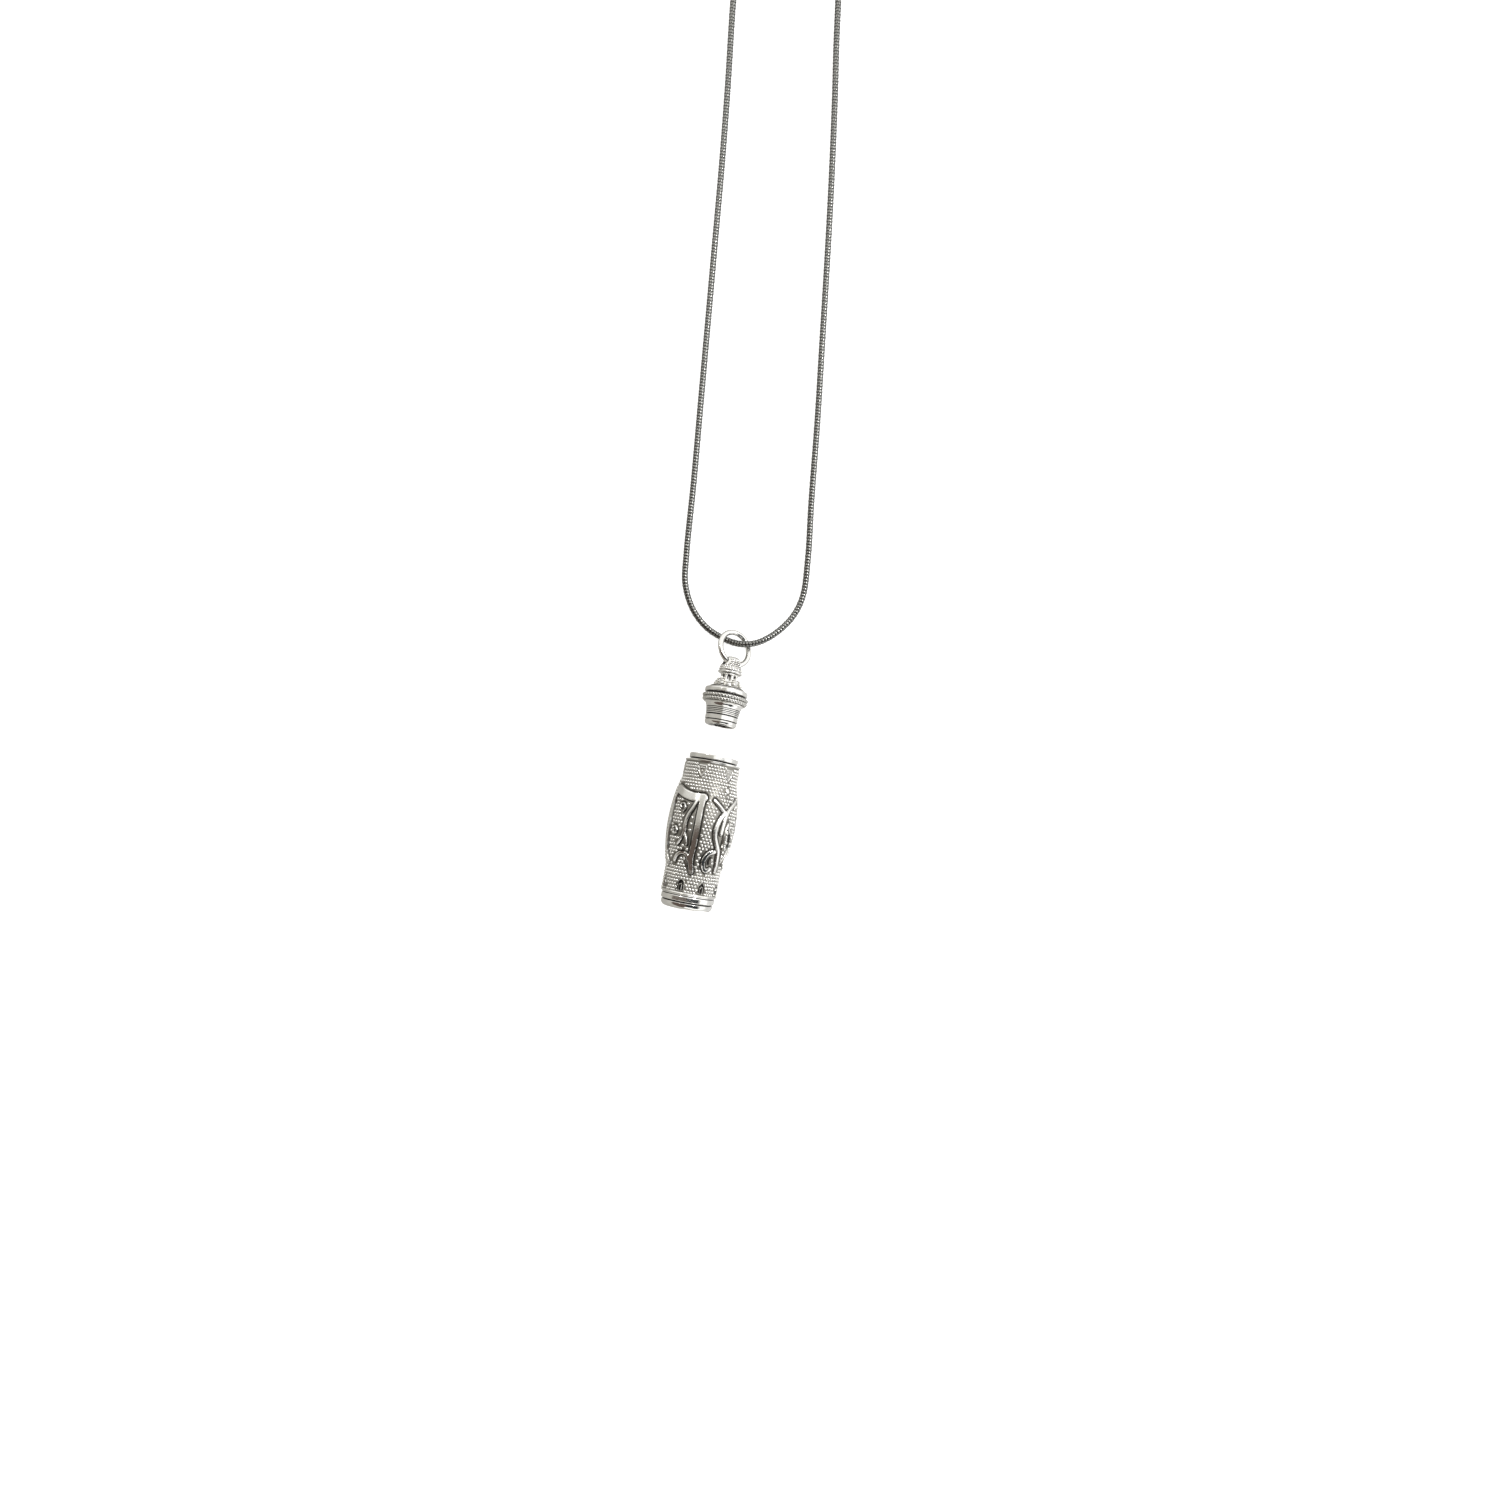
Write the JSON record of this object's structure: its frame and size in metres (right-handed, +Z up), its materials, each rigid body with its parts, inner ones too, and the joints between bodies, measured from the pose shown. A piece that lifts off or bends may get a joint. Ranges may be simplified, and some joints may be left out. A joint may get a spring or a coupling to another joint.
{
  "type": "cryptex message-capsule pendant on a chain",
  "caption": "Barrel-shaped message capsule with a pull-off plug cap, hung by a bail ring from a snake chain with a lobster clasp; it lies open.",
  "frame": {"origin": "on the ground under the middle of the pendant's own box, the chain left out", "axes": "+Z up from the ground; +Y along the pendant from the barrel's foot to its cap and bail ring; +X to the right of that"},
  "size_m": [0.0345, 0.1916, 0.0124],
  "materials": {
    "silver": "cast silver, granulated and scroll relief, grey patina left in the low places, raised places polished",
    "bright_silver": "polished silver",
    "chain": "dark grey metal snake chain with bright crests on its links",
    "steel": "plain steel"
  },
  "bodies": {
    "chain": {"snake_chain": "chain", "chain_tail": "chain", "chain_coil": "chain", "coil_tie": "bright_silver", "end_cap_near": "bright_silver", "end_cap_far": "bright_silver"},
    "bail": {"bail_ring": "bright_silver"},
    "cap": {"plug_sleeve": "bright_silver", "rope_ring": "silver", "cap_shoulder": "bright_silver", "lantern": "silver", "finial_dome": "silver", "scroll_bracket_1": "silver", "scroll_bracket_2": "silver", "scroll_bracket_3": "silver", "scroll_bracket_4": "silver", "scroll_bracket_5": "silver", "scroll_bracket_6": "silver"},
    "barrel": {"barrel_shell": "silver", "mouth_collar": "bright_silver", "base_collar": "bright_silver", "base_disc": "bright_silver"},
    "catch": {"catch_ring": "bright_silver"},
    "link": {"clasp_link": "bright_silver"},
    "clasp": {"clasp_body": "bright_silver", "clasp_pin": "steel", "clasp_spring": "steel"},
    "lever": {"clasp_lever": "bright_silver"}
  },
  "joints": [
    {"name": "barrel_pull", "type": "slide", "parent": "cap", "child": "barrel", "axis": [0, 0.9961, -0.0888], "range_m": [-0.01, 0.0097]},
    {"name": "cap_swing", "type": "hinge", "parent": "bail", "child": "cap", "pos_m": [0, 0.0193, 0.00365], "axis": [-0.8387, 0.2025, 0.5056], "range_deg": [0, 45]},
    {"name": "bail_swing", "type": "hinge", "parent": "chain", "child": "bail", "pos_m": [0.00071, 0.02344, 0.0015], "axis": [-0.9499, -0.041, -0.31], "range_deg": [0, 60]},
    {"name": "lever_open", "type": "hinge", "parent": "clasp", "child": "lever", "pos_m": [-0.00034, 0.16425, 0.0011], "axis": [0, 0, -1], "range_deg": [0, 22], "stiffness_Nm_per_rad": 0.001, "springref_deg": -17.19},
    {"name": "clasp_swivel", "type": "hinge", "parent": "link", "child": "clasp", "pos_m": [-0.00299, 0.163, 0.0011], "axis": [0, 0, 1], "range_deg": [-25, 25]},
    {"name": "link_swivel", "type": "hinge", "parent": "chain", "child": "link", "pos_m": [-0.0052, 0.163, 0.00097], "axis": [0, 0, 1], "range_deg": [-25, 25]},
    {"name": "catch_swing", "type": "hinge", "parent": "chain", "child": "catch", "pos_m": [-0.00468, 0.15355, 0.00097], "axis": [0.9891, 0.1474, 0], "range_deg": [0, 80]}
  ]
}
